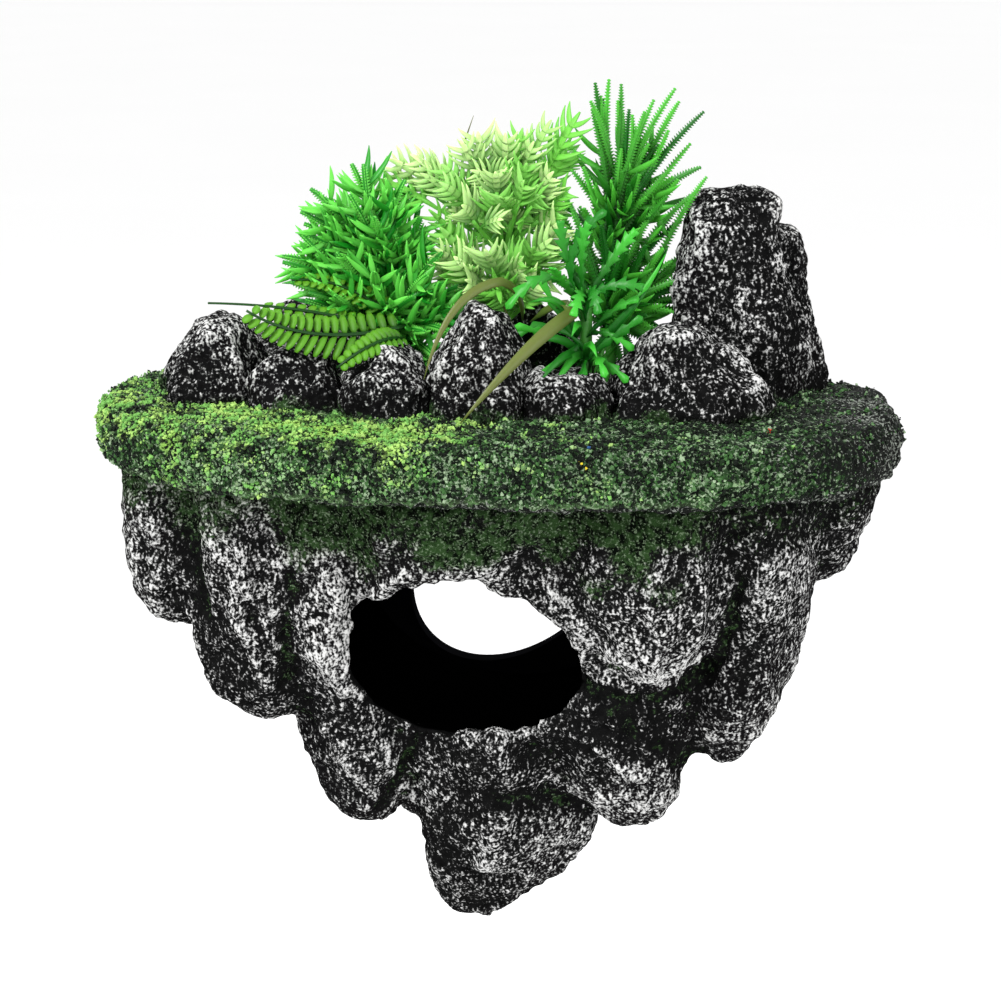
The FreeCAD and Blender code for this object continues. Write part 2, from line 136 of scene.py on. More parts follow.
# light patches of moss on the ledge: X, Y, Z, reach, strength
MOSS_LIGHTS = [
    (-66, -72, 37, 8, 1.0), (-58, -84, 37, 6, 0.7), (-78, -86, 36, 9, 0.8), (-90, -70, 34, 10, 0.6),
    (-46, -90, 37, 9, 1.0), (-33, -93, 37, 11, 1.3), (-19, -95, 37, 10, 1.3), (-8, -96, 37, 8, 0.9),
    (-37, -104, 28, 5, 0.8), (-70, -92, 31, 9, 0.7), (-5, -82, 37, 6, 0.6), (20, -100, 36, 9, 0.3),
]
# stray dabs of paint on the moss: X, Y, Z, and 1 for red, 2 for yellow, 3 for blue
PAINT_DABS = [(67, -83, 37, 1), (24, -104, 33, 2), (27, -103, 35, 3)]
# bare ridges on the front of each stone: points (X, Z), half width, height
STONE_RIDGES = {
    "stone_crag": [
        ([(48, 86), (50, 76), (45, 62), (48, 52), (56, 44)], 1.5, 1.6),
        ([(66, 84), (68, 70), (72, 56), (74, 42)], 1.4, 1.3),
        ([(56, 84), (58, 72), (60, 56)], 1.2, 0.8),
    ],
    "stone_front_right": [
        ([(28, 50), (38, 55), (48, 56), (56, 54), (61, 46), (64, 38)], 1.5, 1.4),
        ([(40, 54), (43, 46), (41, 38)], 1.3, 0.8),
    ],
    "stone_front_peak": [
        ([(-14, 44), (-9, 55), (-3, 60), (4, 57)], 1.4, 1.2),
        ([(-2, 60), (0, 48), (3, 38)], 1.3, 1.0),
    ],
    "stone_left": [([(-80, 46), (-74, 54), (-66, 54), (-63, 46)], 1.5, 1.1)],
}
# flats of each stone: compass angle and rise they face, in degrees, and share of the reach kept
STONE_FLATS = {
    "stone_left": [(-80, 20, 0.80), (-165, 30, 0.84), (-10, 25, 0.84), (-100, 78, 0.92)],
    "stone_front_left": [(-95, 40, 0.78), (-170, 45, 0.84), (0, 40, 0.84)],
    "stone_front_middle": [(-85, 35, 0.80), (-175, 40, 0.82), (-20, 55, 0.84)],
    "stone_front_peak": [(-75, 32, 0.78), (-160, 38, 0.78), (-5, 40, 0.82), (-120, 70, 0.90)],
    "stone_front_low": [(-90, 45, 0.82), (-30, 35, 0.84)],
    "stone_front_right": [(-95, 24, 0.70), (-155, 38, 0.74), (-35, 48, 0.72), (-120, 70, 0.88)],
    "stone_crag": [(-98, 6, 0.68), (178, 4, 0.80), (-32, 8, 0.80), (90, 10, 0.84), (-62, 14, 0.80),
                   (-138, 12, 0.82)],
    "stone_rear_right": [(-70, 12, 0.82), (5, 14, 0.84), (-60, 65, 0.90), (90, 10, 0.86)],
    "stone_rear_left": [(90, 40, 0.82), (-90, 50, 0.84), (170, 35, 0.84)],
    "stone_rear_middle": [(90, 35, 0.82), (10, 45, 0.82), (-160, 45, 0.84)],
}

STONE_NODES = [
    "stone_left", "stone_front_left", "stone_front_middle", "stone_front_peak",
    "stone_front_low", "stone_front_right", "stone_crag", "stone_rear_right",
    "stone_rear_left", "stone_rear_middle",
]


# ---- noise ----
def lattice(ix, iy, iz, seed):
    """A repeatable value from 0 to 1 for each whole-number point."""
    mixed = (ix * 73856093) ^ (iy * 19349663) ^ (iz * 83492791) ^ (seed * 2654435761)
    mixed = (mixed ^ (mixed >> 13)) * 1274126177
    return ((mixed ^ (mixed >> 16)) & 0xFFFFFF) / 0xFFFFFF


def noise(points, size, seed, stretch=(1, 1, 1)):
    """Smooth noise from -1 to 1 whose lumps are about `size` metres across."""
    scaled = points / (size * np.array(stretch))
    corner = np.floor(scaled)
    part = scaled - corner
    part = part ** 3 * (part * (part * 6 - 15) + 10)
    corner = corner.astype(np.int64)
    total = np.zeros(len(points))
    for dx in (0, 1):
        for dy in (0, 1):
            for dz in (0, 1):
                weight = part[:, X] if dx else 1 - part[:, X]
                weight = weight * (part[:, Y] if dy else 1 - part[:, Y])
                weight = weight * (part[:, Z] if dz else 1 - part[:, Z])
                total += weight * lattice(corner[:, X] + dx, corner[:, Y] + dy,
                                          corner[:, Z] + dz, seed)
    return total * 2 - 1


def ramp(values, low, high):
    """Smooth step from 0 at low to 1 at high."""
    share = np.clip((values - low) / (high - low), 0, 1)
    return share * share * (3 - 2 * share)


# ---- mesh helpers ----
def link(obj):
    bpy.context.scene.collection.objects.link(obj)
    return obj


def bake(obj):
    """Replace the mesh of obj by its modified mesh."""
    graph = bpy.context.evaluated_depsgraph_get()
    mesh = bpy.data.meshes.new_from_object(obj.evaluated_get(graph))
    obj.modifiers.clear()
    obj.data = mesh
    return obj


def points_of(mesh):
    flat = np.empty(len(mesh.vertices) * 3)
    mesh.vertices.foreach_get("co", flat)
    return flat.reshape(-1, 3)


def normals_of(mesh):
    flat = np.empty(len(mesh.vertices) * 3)
    mesh.vertex_normals.foreach_get("vector", flat)
    return flat.reshape(-1, 3)


def set_points(mesh, points):
    mesh.vertices.foreach_set("co", points.ravel())
    mesh.update()


def paint(mesh, name, values):
    """Store one number for each vertex, for the material to read."""
    mesh.attributes.new(name, "FLOAT", "POINT").data.foreach_set("value", values.astype(np.float32))


def painted(mesh, name):
    """Read back what paint stored."""
    values = np.empty(len(mesh.vertices), np.float32)
    mesh.attributes[name].data.foreach_get("value", values)
    return values


def smooth_shade(mesh):
    mesh.polygons.foreach_set("use_smooth", [True] * len(mesh.polygons))


def smoothed_points(obj, rounds):
    """Where the vertices of obj would lie after many rounds of smoothing."""
    ghost = link(bpy.data.objects.new("ghost", obj.data.copy()))
    modifier = ghost.modifiers.new("smooth", "SMOOTH")
    modifier.factor = 0.5
    modifier.iterations = rounds
    bake(ghost)
    points = points_of(ghost.data)
    bpy.data.objects.remove(ghost)
    return points


def swell(piece, reach):
    """Push every vertex out along its normal."""
    set_points(piece.data, points_of(piece.data) + normals_of(piece.data) * reach)


def even_mesh(piece, voxel, rounds):
    """Rebuild a piece from even facets and round it a little."""
    remesh = piece.modifiers.new("remesh", "REMESH")
    remesh.mode = "VOXEL"
    remesh.voxel_size = voxel
    smooth = piece.modifiers.new("smooth", "SMOOTH")
    smooth.factor = 0.5
    smooth.iterations = rounds
    return bake(piece)


def remeshed(node, name, voxel, rounds, fill=0.0):
    """A copy of a CAD node as an even, rounded mesh; clefts under 2 * fill wide are closed."""
    piece = link(bpy.data.objects.new(name, frame["nodes"][node].data.copy()))
    piece.data.materials.clear()
    weld = piece.modifiers.new("weld", "WELD")
    weld.merge_threshold = 0.01 * MM
    even_mesh(piece, voxel, rounds)
    if fill:
        swell(piece, fill)
        even_mesh(piece, voxel, 4)
        swell(piece, -fill)
        even_mesh(piece, voxel, 8)
    return piece


# ---- materials ----
class Nodes:
    """Short calls that build one material's node tree."""

    def __init__(self, name):
        self.material = bpy.data.materials.new(name)
        self.material.use_nodes = True
        self.tree = self.material.node_tree
        self.shader = self.tree.nodes["Principled BSDF"]

    def add(self, kind, **inputs):
        node = self.tree.nodes.new(kind)
        for key, value in inputs.items():
            self.put(node.inputs[key.replace("_", " ")], value)
        return node

    def put(self, socket, value):
        if isinstance(value, bpy.types.NodeSocket):
            self.tree.links.new(value, socket)
        else:
            socket.default_value = value

    def attribute(self, name):
        node = self.tree.nodes.new("ShaderNodeAttribute")
        node.attribute_name = name
        return node.outputs["Fac"]

    def place(self):
        return self.tree.nodes.new("ShaderNodeTexCoord").outputs["Object"]

    def noise(self, size, detail=2.0, roughness=0.55, vector=None):
        """Noise texture whose lumps are about `size` metres across."""
        node = self.add("ShaderNodeTexNoise", Scale=1.0 / size, Detail=detail, Roughness=roughness)
        self.put(node.inputs["Vector"], vector or self.place())
        return node.outputs["Fac"]

    def math(self, operation, a, b=0.0):
        node = self.tree.nodes.new("ShaderNodeMath")
        node.operation = operation
        self.put(node.inputs[0], a)
        self.put(node.inputs[1], b)
        return node.outputs["Value"]

    def plus(self, first, second, share):
        """first + share * second."""
        return self.math("ADD", first, self.math("MULTIPLY", second, share))

    def step(self, value, low, high):
        """0 below low, 1 above high, smooth between."""
        node = self.tree.nodes.new("ShaderNodeMapRange")
        node.interpolation_type = "SMOOTHSTEP"
        self.put(node.inputs["Value"], value)
        node.inputs["From Min"].default_value = low
        node.inputs["From Max"].default_value = high
        return node.outputs["Result"]

    def mix(self, share, first, second):
        node = self.tree.nodes.new("ShaderNodeMix")
        node.data_type = "RGBA"
        self.put(node.inputs["Factor"], share)
        for key, colour in (("A", first), ("B", second)):
            plain = isinstance(colour, tuple)
            self.put(node.inputs[key], (*colour, 1) if plain else colour)
        return node.outputs["Result"]

    def bump(self, height, distance, strength):
        node = self.add("ShaderNodeBump", Strength=strength, Distance=distance, Height=height)
        return node.outputs["Normal"]

    def finish(self, colour, roughness, normal=None):
        self.put(self.shader.inputs["Base Color"], colour)
        self.put(self.shader.inputs["Roughness"], roughness)
        if normal is not None:
            self.put(self.shader.inputs["Normal"], normal)
        return self.material


def moss_colour(n):
    """Flock colours: black gaps, mid green, grey-green dust, and lime where `bright` is high."""
    fine = n.noise(0.70 * MM, 2.0, 0.6)
    clump = n.noise(2.4 * MM, 3.0, 0.6)
    patch = n.noise(7 * MM, 2.0, 0.5)
    green = n.mix(n.step(clump, 0.36, 0.66), (0.005, 0.014, 0.005), (0.045, 0.12, 0.033))
    dust = n.step(n.plus(fine, patch, 0.25), 0.62, 0.74)
    green = n.mix(dust, green, (0.21, 0.29, 0.18))
    light = n.plus(n.math("MULTIPLY", fine, 0.45), clump, 0.45)
    light = n.plus(light, patch, 0.35)
    light = n.plus(light, n.attribute("bright"), 0.17)
    green = n.mix(n.step(light, 0.72, 0.90), green, (0.24, 0.45, 0.08))
    gaps = n.math("MULTIPLY", n.noise(0.95 * MM, 2.0, 0.6), 0.7)
    gaps = n.plus(gaps, n.noise(4 * MM), 0.3)
    green = n.mix(n.step(gaps, 0.51, 0.44), green, (0.003, 0.005, 0.003))
    return n.mix(n.math("MULTIPLY", n.attribute("hem"), 0.8), green, (0.20, 0.33, 0.14))


def moss_in_painted_shade(n):
    """Dark olive moss of the clefts and of the rock under the rim, painted darker than the ledge moss as
    painted shade.
    """
    fine = n.noise(0.62 * MM, 2.0, 0.6)
    clump = n.noise(2.2 * MM, 3.0, 0.6)
    green = n.mix(n.step(clump, 0.40, 0.62), (0.002, 0.003, 0.002), (0.020, 0.045, 0.014))
    return n.mix(n.step(fine, 0.53, 0.70), green, (0.12, 0.17, 0.10))


def rock_material():
    """Near-black gritty resin with drybrushed white grains, green where moss lies, and painted shade: fewer
    white grains and darker moss in the clefts and under the ledge, and a darker cave wall.
    """
    n = Nodes("painted_rock")
    grit = n.noise(0.66 * MM, 2.0, 0.5)
    slant = n.add("ShaderNodeMapping", Scale=(1.0, 1.0, 0.5), Rotation=(0.0, 0.4, 0.0))
    n.put(slant.inputs["Vector"], n.place())
    streak = n.noise(0.90 * MM, 1.0, 0.5, slant.outputs["Vector"])
    speck = n.plus(n.math("MULTIPLY", grit, 0.55), streak, 0.45)
    level = n.plus(speck, n.attribute("drybrush_and_shade"), 0.28)
    level = n.plus(level, n.attribute("grain"), 0.04)
    white = n.step(level, 0.560, 0.725)
    base = n.mix(n.noise(2.2 * MM, 3.0, 0.6), (0.0005, 0.0005, 0.0006), (0.009, 0.009, 0.009))
    # painted shade: the cave wall, marked far below any outside value, is painted darker than the rock's own
    # black
    base = n.mix(n.step(n.attribute("drybrush_and_shade"), -1.0, -2.0), base, (0.0003, 0.0003, 0.0003))
    chalk = n.mix(n.step(level, 0.59, 0.80), (0.04, 0.04, 0.04), (0.60, 0.60, 0.59))
    damp = n.step(n.attribute("moss"), 0.15, 0.75)
    chalk = n.mix(n.math("MULTIPLY", damp, 0.8), chalk, (0.19, 0.24, 0.16))
    colour = n.mix(white, base, chalk)
    moss_level = n.plus(n.attribute("moss"), n.noise(1.3 * MM, 3.0, 0.6), 1.5)
    # moss where the moss level is high, in dark colours that carry painted shade
    colour = n.mix(n.step(moss_level, 1.12, 1.36), colour, moss_in_painted_shade(n))
    height = n.plus(speck, n.noise(0.45 * MM, 2.0), 0.3)
    normal = n.bump(height, 0.6 * MM, 0.8)
    rough = n.math("ADD", n.math("MULTIPLY", white, 0.15), 0.62)
    n.shader.inputs["Specular IOR Level"].default_value = 0.0
    return n.finish(colour, rough, normal)


def moss_material():
    """The flocked ledge, thinning to bare rock at its right end."""
    n = Nodes("flocked_moss")
    grit = n.noise(0.70 * MM, 2.0, 0.55)
    white = n.step(n.plus(grit, n.attribute("drybrush_and_shade"), 0.2), 0.60, 0.70)
    rock = n.mix(white, (0.005, 0.006, 0.005), (0.22, 0.24, 0.21))
    cover = n.plus(n.attribute("moss"), n.noise(1.3 * MM, 3.0, 0.6), 1.2)
    colour = n.mix(n.step(cover, 0.85, 1.15), rock, moss_colour(n))
    height = n.plus(n.noise(1.1 * MM, 3.0, 0.65), n.noise(0.5 * MM, 2.0), 0.5)
    n.shader.inputs["Specular IOR Level"].default_value = 0.08
    return n.finish(colour, 0.85, n.bump(height, 1.0 * MM, 1.0))


# ---- rock ----
def near_lines(points, lines, seed):
    """Height in millimetres that some wandering ridges give each vertex."""
    flat = points[:, [X, Z]] / MM
    wander = np.stack([noise(points, 5 * MM, seed), noise(points, 5 * MM, seed + 1)], 1)
    flat = flat + 1.3 * wander
    height = np.zeros(len(points))
    for line, half, tall in lines:
        gap = np.full(len(points), np.inf)
        for start, end in zip(np.array(line[:-1], float), np.array(line[1:], float)):
            run = end - start
            share = np.clip((flat - start) @ run / (run @ run), 0, 1)
            gap = np.minimum(gap, np.linalg.norm(flat - start - share[:, None] * run, axis=1))
        height = np.maximum(height, tall * np.exp(-(gap / half) ** 2))
    return height * (0.75 + 0.6 * noise(points, 3.5 * MM, seed + 2))


def flatten(piece, flats):
    """Press soft flats into a rounded stone."""
    points = points_of(piece.data)
    centre = points.mean(0)
    for compass, rise, share in flats:
        turn, lift = math.radians(compass), math.radians(rise)
        level = math.cos(lift)
        facing = np.array([math.cos(turn) * level, math.sin(turn) * level, math.sin(lift)])
        reach = (points - centre) @ facing
        over = np.maximum(reach - share * reach.max(), 0)
        points = points - facing * (over * FLAT_PRESS)[:, None]
    set_points(piece.data, points)


def roughen(piece, seed, still, ridge):
    """Push lumps, folds, grains and ridges out of a rock; `still` is 1 where it stays smooth."""
    mesh = piece.data
    points = points_of(mesh)
    normals = normals_of(mesh)
    bent = points + 3 * MM * np.stack([noise(points, 12 * MM, seed + 10 + k) for k in range(3)], 1)
    lumps = noise(bent, 14 * MM, seed, (1, 1, 1.3))
    folds = 1 - 2 * np.abs(noise(bent, 9 * MM, seed + 2, (1, 1, 2.4)))
    knobs = noise(bent, 5.5 * MM, seed + 1)
    pits = noise(points, 2.9 * MM, seed + 3)
    grain = noise(points, 1.5 * MM, seed + 4)
    push = 1.5 * lumps + 0.9 * folds + 0.75 * knobs + 0.48 * pits + 0.34 * grain + ridge
    set_points(mesh, points + normals * (push * (1 - still) * MM)[:, None])
    return grain


def raised(piece, rounds, span):
    """How far each vertex stands out of the rock round it, as about -1 to 1."""
    points = points_of(piece.data)
    offset = points - smoothed_points(piece, rounds)
    height = (offset * normals_of(piece.data)).sum(1)
    return np.clip(height / span, -1, 1)


def in_cave(points, normals):
    """1 on the smooth wall of the cave, which is painted near-black as painted shade, 0 outside."""
    rows = np.array(CAVE_WALL, float).T * MM
    middle_x, middle_z, wide, high = (np.interp(points[:, Y], rows[0], row) for row in rows[1:])
    across = (points[:, X] - middle_x) / wide
    upward = (points[:, Z] - middle_z) / high
    inward = -(normals[:, X] * across + normals[:, Z] * upward) + 0.5 * normals[:, Y]
    lip = (-82 + 9 * ramp(points[:, Z] / MM, -26, -40)) * MM
    behind = ramp(points[:, Y], lip, lip + 3 * MM)
    return ramp(np.hypot(across, upward), 1.10, 1.05) * ramp(inward, -0.05, 0.15) * behind


def cave_skin():
    """The hanging rock, rough outside and smooth in the cave, with painted shade in the cave, in the clefts
    and under the ledge.
    """
    piece = remeshed("cave_shell", "cave_rock", SHELL_VOXEL, 14, CLEFT_FILL)
    points = points_of(piece.data)
    normals = normals_of(piece.data)
    inside = in_cave(points, normals)
    flat_back = ramp(points[:, Y], REAR_FACE - 3 * MM, REAR_FACE - 1 * MM)
    flat_top = ramp(points[:, Z], SHELL_HIGH.z - 3 * MM, SHELL_HIGH.z - 1 * MM)
    still = np.maximum(np.maximum(inside, flat_back), flat_top)
    front = ramp(-normals[:, Y], -0.2, 0.3) * ramp(points[:, Y], -42 * MM, -52 * MM)
    ridge = near_lines(points, SHELL_RIDGES, 60) * front
    hollow = near_lines(points, SHELL_CLEFTS, 70) * front
    grain = roughen(piece, 100, still, ridge - hollow)
    points = points_of(piece.data)
    bump = raised(piece, 60, 1.6 * MM)
    drift = noise(points, 20 * MM, 5)
    depth = (LEDGE_BOTTOM - points[:, Z]) / MM
    under_rim = ramp(depth, 5, 17)
    x, z = points[:, X] / MM, points[:, Z] / MM
    overhang = np.exp(-(((x - 40) / 20) ** 2 + ((z + 10) / 14) ** 2))
    # white grains: more on raised rock and ridges as real drybrush, fewer in recesses and the listed
    # hollows, partly drybrush and partly painted shade that darkens the clefts between the lobes
    drybrush_and_shade = 0.33 + 0.33 * bump + 0.20 * drift - 0.07 * ramp(depth, 30, 75)
    drybrush_and_shade = drybrush_and_shade + 0.17 * ridge - 0.42 * hollow
    far_left = ramp(x, -36, -56)
    # painted shade under the ledge: just below the rim the grain level is held low and even, with more
    # grains at the far left
    drybrush_and_shade = np.clip(drybrush_and_shade + 0.10 * overhang, *DRYBRUSH_AND_SHADE_RANGE) * under_rim
    drybrush_and_shade = drybrush_and_shade + (0.14 + 0.30 * far_left) * (1 - under_rim)
    green = 1 - 0.55 * ramp(x, 35, 70) - 0.22 * far_left
    # moss spilling under the rim, where the ledge's shadow falls, in the darker painted-shade moss colours
    moss = (1.0 - ramp(depth + 9 * noise(points, 9 * MM, 8), 4, 25)) * green
    # moss in recesses and hollows, in the darker painted-shade moss colours
    cleft = ramp(-bump, 0.1, 0.6) * ramp(noise(points, 15 * MM, 9), -0.4, 0.3)
    cleft = cleft + 0.8 * ramp(hollow, 0.2, 1.0)
    moss = np.maximum(moss * 0.78, np.clip(cleft, 0, 1) * 0.42)
    # painted shade: the cave wall is marked far below any outside value, which paints it darker than the
    # rock's own black and leaves it bare of white grains and moss
    paint(piece.data, "drybrush_and_shade", drybrush_and_shade * (1 - inside) - inside * CAVE_SHADE_MARK)
    paint(piece.data, "moss", moss * (1 - inside) - inside * CAVE_SHADE_MARK)
    paint(piece.data, "grain", grain)
    return piece


def stone_skin(node, seed):
    """One stone on the ledge, with a little moss round its foot."""
    piece = remeshed(node, node.replace("stone_", "rock_"), STONE_VOXEL, 14)
    flatten(piece, STONE_FLATS[node])
    points = points_of(piece.data)
    normals = normals_of(piece.data)
    still = ramp(points[:, Z], LEDGE_TOP + 2 * MM, LEDGE_TOP + 0.5 * MM)
    front = ramp(-normals[:, Y], -0.3, 0.3)
    ridge = near_lines(points, STONE_RIDGES.get(node, []), seed + 60) * front
    grain = roughen(piece, seed, still, ridge)
    points = points_of(piece.data)
    foot = ramp(points[:, Z], LEDGE_TOP + 3 * MM, LEDGE_TOP)
    points[:, Z] -= 1.5 * MM * foot
    set_points(piece.data, points)
    bump = raised(piece, 40, 1.3 * MM)
    height = (points[:, Z] - LEDGE_TOP) / MM
    drybrush_and_shade = 0.28 + 0.34 * bump + 0.16 * noise(points, 12 * MM, seed + 6) + 0.18 * ridge
    drybrush_and_shade = np.clip(drybrush_and_shade + 0.10 * ramp(normals[:, Z], 0.2, 0.9), *DRYBRUSH_AND_SHADE_RANGE)
    drybrush_and_shade = drybrush_and_shade * (0.45 + 0.55 * ramp(height, 0, 9))
    moss = ramp(height + 4 * noise(points, 8 * MM, seed + 7), 5, 0) * 0.6
    paint(piece.data, "drybrush_and_shade", drybrush_and_shade)
    paint(piece.data, "moss", moss)
    paint(piece.data, "grain", grain)
    return piece


def ledge_skin():
    """The flocked ledge: clumpy moss over a thick rounded rim."""
    piece = remeshed("ledge", "moss_ledge", LEDGE_VOXEL, 8)
    mesh = piece.data
    points = points_of(mesh)
    normals = normals_of(mesh)
    x = points[:, X] / MM
    green = 1 - 0.75 * ramp(x, 60, 95)
    free = ramp(points[:, Y], BACK_Y, BACK_Y - 3 * MM)
    lumps = noise(points, 16 * MM, 33)
    clumps = noise(points, 5 * MM, 31)
    tufts = noise(points, 2.4 * MM, 32)
    grain = noise(points, 1.4 * MM, 34)
    points[:, :2] -= normals[:, :2] * (RIM_INSET * free)[:, None]
    push = (0.8 * lumps + 0.6 * clumps + 0.75 * tufts + 0.40 * grain) * MM
    set_points(mesh, points + normals * (push * free)[:, None])
    facing_up = normals[:, Z]
    left = ramp(x, 10, -25)
    lights = np.zeros(len(points))
    for *spot, reach, strength in MOSS_LIGHTS:
        gap = np.linalg.norm(points / MM - spot, axis=1)
        lights = np.maximum(lights, strength * np.exp(-(gap / reach) ** 2))
    hem = np.exp(-((points[:, Z] - LEDGE_BOTTOM) / MM - 1.0) ** 2) * ramp(facing_up, -0.9, -0.5)
    bright = -0.03 + 0.38 * left * ramp(facing_up, -0.3, 0.6)
    bright = bright + 0.9 * lights + 0.35 * noise(points, 6 * MM, 35)
    under = ramp(-facing_up, 0.6, 0.95)
    cover = green * (1 - 0.7 * under) * (0.70 + 0.30 * noise(points, 12 * MM, 36)) + 0.12 * left
    paint(mesh, "moss", cover)
    paint(mesh, "bright", bright)
    paint(mesh, "hem", hem * ramp(x, 70, 20))
    paint(mesh, "drybrush_and_shade", 0.2 + 0.4 * noise(points, 10 * MM, 37))
    return piece


def moss_flakes(ledge, count, seed):
    """Crumbs of foam flock glued on the ledge, as one mesh."""
    mesh = ledge.data
    points = points_of(mesh)
    normals = normals_of(mesh)
    cover = painted(mesh, "moss")
    bright = painted(mesh, "bright")
    chance = np.random.default_rng(seed)
    patchy = noise(points, 4 * MM, seed + 3) * 0.5 + 0.5
    upward = np.clip(normals[:, Z] * 0.5 + 0.62, 0.05, 1)
    weight = np.clip(cover, 0, 1) ** 2 * upward * patchy ** 2 * (points[:, Y] < BACK_Y - 2 * MM)
    weight *= 1 - 0.8 * np.exp(-((points[:, Z] - LEDGE_BOTTOM) / MM - 1.0) ** 2)
    for x, y in SOCKETS:
        weight[np.hypot(points[:, X] - x * MM, points[:, Y] - y * MM) < SOCKET_CLEAR] = 0
    picked = chance.choice(len(points), size=count, replace=False, p=weight / weight.sum())
    corners = np.array([(1, 0, 0), (-1, 0, 0), (0, 1, 0), (0, -1, 0), (0, 0, 1), (0, 0, -1)], float)
    sides = np.array([(0, 2, 4), (2, 1, 4), (1, 3, 4), (3, 0, 4),
                      (2, 0, 5), (1, 2, 5), (3, 1, 5), (0, 3, 5)])
    size = (0.24 + 0.54 * chance.uniform(0, 1, count) ** 2) * MM
    spin, _ = np.linalg.qr(chance.normal(size=(count, 3, 3)))
    uneven = chance.uniform(0.5, 1.3, (count, 6, 1))
    body = np.einsum("pij,kj->pki", spin, corners) * uneven * size[:, None, None]
    place = points[picked] + chance.normal(0, 0.4 * MM, (count, 3)) * (1 - np.abs(normals[picked]))
    body += (place + normals[picked] * 0.2 * MM)[:, None, :]
    faces = (np.arange(count)[:, None, None] * 6 + sides[None]).reshape(-1, 3)
    flock = bpy.data.meshes.new("moss_flakes")
    flock.from_pydata(body.reshape(-1, 3).tolist(), [], faces.tolist())
    shade = 0.40 + 0.7 * chance.uniform(-0.5, 0.5, count) + 0.75 * noise(place, 2.6 * MM, seed + 4)
    shade = shade + 0.25 * noise(place, 11 * MM, seed + 5) - 0.28 * ramp(place[:, X] / MM, 20, 70)
    shade = shade + 0.12 * ramp(place[:, X] / MM, -25, -70)
    dab = np.zeros(count)
    for *spot, tone in PAINT_DABS:
        dab[np.argsort(np.linalg.norm(place / MM - spot, axis=1))[:FLAKES_PER_DAB]] = tone
    paint(flock, "dab", np.repeat(dab, 6))
    paint(flock, "shade", np.repeat(shade, 6))
    paint(flock, "bright", np.repeat(bright[picked], 6))
    return link(bpy.data.objects.new("moss_flakes", flock))


def flake_material():
    """Foam crumbs, each with its own green."""
    n = Nodes("foam_flakes")
    shade = n.attribute("shade")
    green = n.mix(n.step(shade, 0.20, 0.70), (0.003, 0.006, 0.003), (0.045, 0.13, 0.032))
    green = n.mix(n.step(shade, 0.55, 0.88), green, (0.27, 0.36, 0.23))
    level = n.math("ADD", n.math("MULTIPLY", shade, 0.8), n.attribute("bright"))
    fresh = n.mix(n.step(n.noise(5 * MM, 2.0), 0.45, 0.60), (0.15, 0.37, 0.08), (0.33, 0.53, 0.13))
    colour = n.mix(n.step(level, 0.62, 1.10), green, fresh)
    dabs = ((0.5, (0.45, 0.02, 0.01)), (1.5, (0.70, 0.55, 0.03)), (2.5, (0.05, 0.15, 0.40)))
    for tone, paint_colour in dabs:
        colour = n.mix(n.math("GREATER_THAN", n.attribute("dab"), tone), colour, paint_colour)
    n.shader.inputs["Specular IOR Level"].default_value = 0.2
    return n.finish(colour, 0.85, n.bump(n.noise(0.5 * MM), 0.3 * MM, 0.6))


# ---- leaves ----
class Foliage:
    """Gathers many thin leaves into one mesh."""

    def __init__(self, seed):
        self.points = []
        self.faces = []
        self.along = []
        self.tint = []
        self.chance = random.Random(seed)

    def strip(self, path, widths, facing, tint, start=0.0, end=1.0, fold=0.15, lean=0.0):
        """A folded ribbon along a path; lean slides the edges towards the tip."""
        first = len(self.points)
        last = len(path) - 1
        for i, point in enumerate(path):
            along = (path[min(i + 1, last)] - path[max(i - 1, 0)]).normalized()
            side = along.cross(facing)
            if side.length < 1e-6:
                side = along.orthogonal()
            side.normalize()
            up = side.cross(along)
            half = widths[i]
            edge = along * (lean * half) + up * (fold * half)
            self.points += [point + side * half + edge, point, point - side * half + edge]
            share = start + (end - start) * i / last
            self.along += [share] * 3
            self.tint += [tint] * 3
        for i in range(last):
            a = first + 3 * i
            self.faces.append((a, a + 1, a + 4, a + 3))
            self.faces.append((a + 1, a + 2, a + 5, a + 4))

    def piece(self, name, material, thickness):
        mesh = bpy.data.meshes.new(name)
        mesh.from_pydata([tuple(p) for p in self.points], [], self.faces)
        paint(mesh, "along", np.array(self.along))
        paint(mesh, "tint", np.array(self.tint))
        smooth_shade(mesh)
        obj = link(bpy.data.objects.new(name, mesh))
        solid = obj.modifiers.new("solid", "SOLIDIFY")
        solid.thickness = thickness
        solid.offset = 0.0
        bake(obj)
        obj.data.materials.append(material)
        return obj


def bezier(start, control, end, steps):
    """Points of one smooth arch."""
    points = []
    for i in range(steps + 1):
        t = i / steps
        points.append(start * (1 - t) ** 2 + control * (2 * t * (1 - t)) + end * t ** 2)
    return points


def mm(x, y, z):
    return Vector((x, y, z)) * MM


def comb_frond(leaves, start, control, end, width, pitch, tint, begin=0.0):
    """A long sprig with short teeth all round: two toothed ribbons that cross."""
    length = (control - start).length + (end - control).length
    teeth = max(6, int(length / pitch))
    path = bezier(start, control, end, teeth * 2)
    widths = []
    for i in range(len(path)):
        share = i / (len(path) - 1)
        body = width * min(1.0, 0.45 + 2.2 * share) * (1 - 0.65 * share ** 6)
        widths.append(body * (1.0 if i % 2 else 0.26))
    sway = leaves.chance.uniform(-0.4, 0.4)
    leaves.strip(path, widths, Vector((sway, -1, 0.3)), tint, begin, lean=0.3)
    leaves.strip(path, [0.6 * w for w in widths], Vector((1, sway, 0.2)), tint, begin, lean=0.3)


def lance_leaf(leaves, start, control, end, width, tint, begin=0.0, facing=None):
    """A smooth pointed leaf."""
    path = bezier(start, control, end, 7)
    widths = []
    for i in range(len(path)):
        share = i / (len(path) - 1)
        widths.append(width * max(0.06, math.sin(math.pi * share ** 0.8) ** 0.8))
    leaves.strip(path, widths, facing or Vector((0.1, -1, 0.35)), tint, begin)


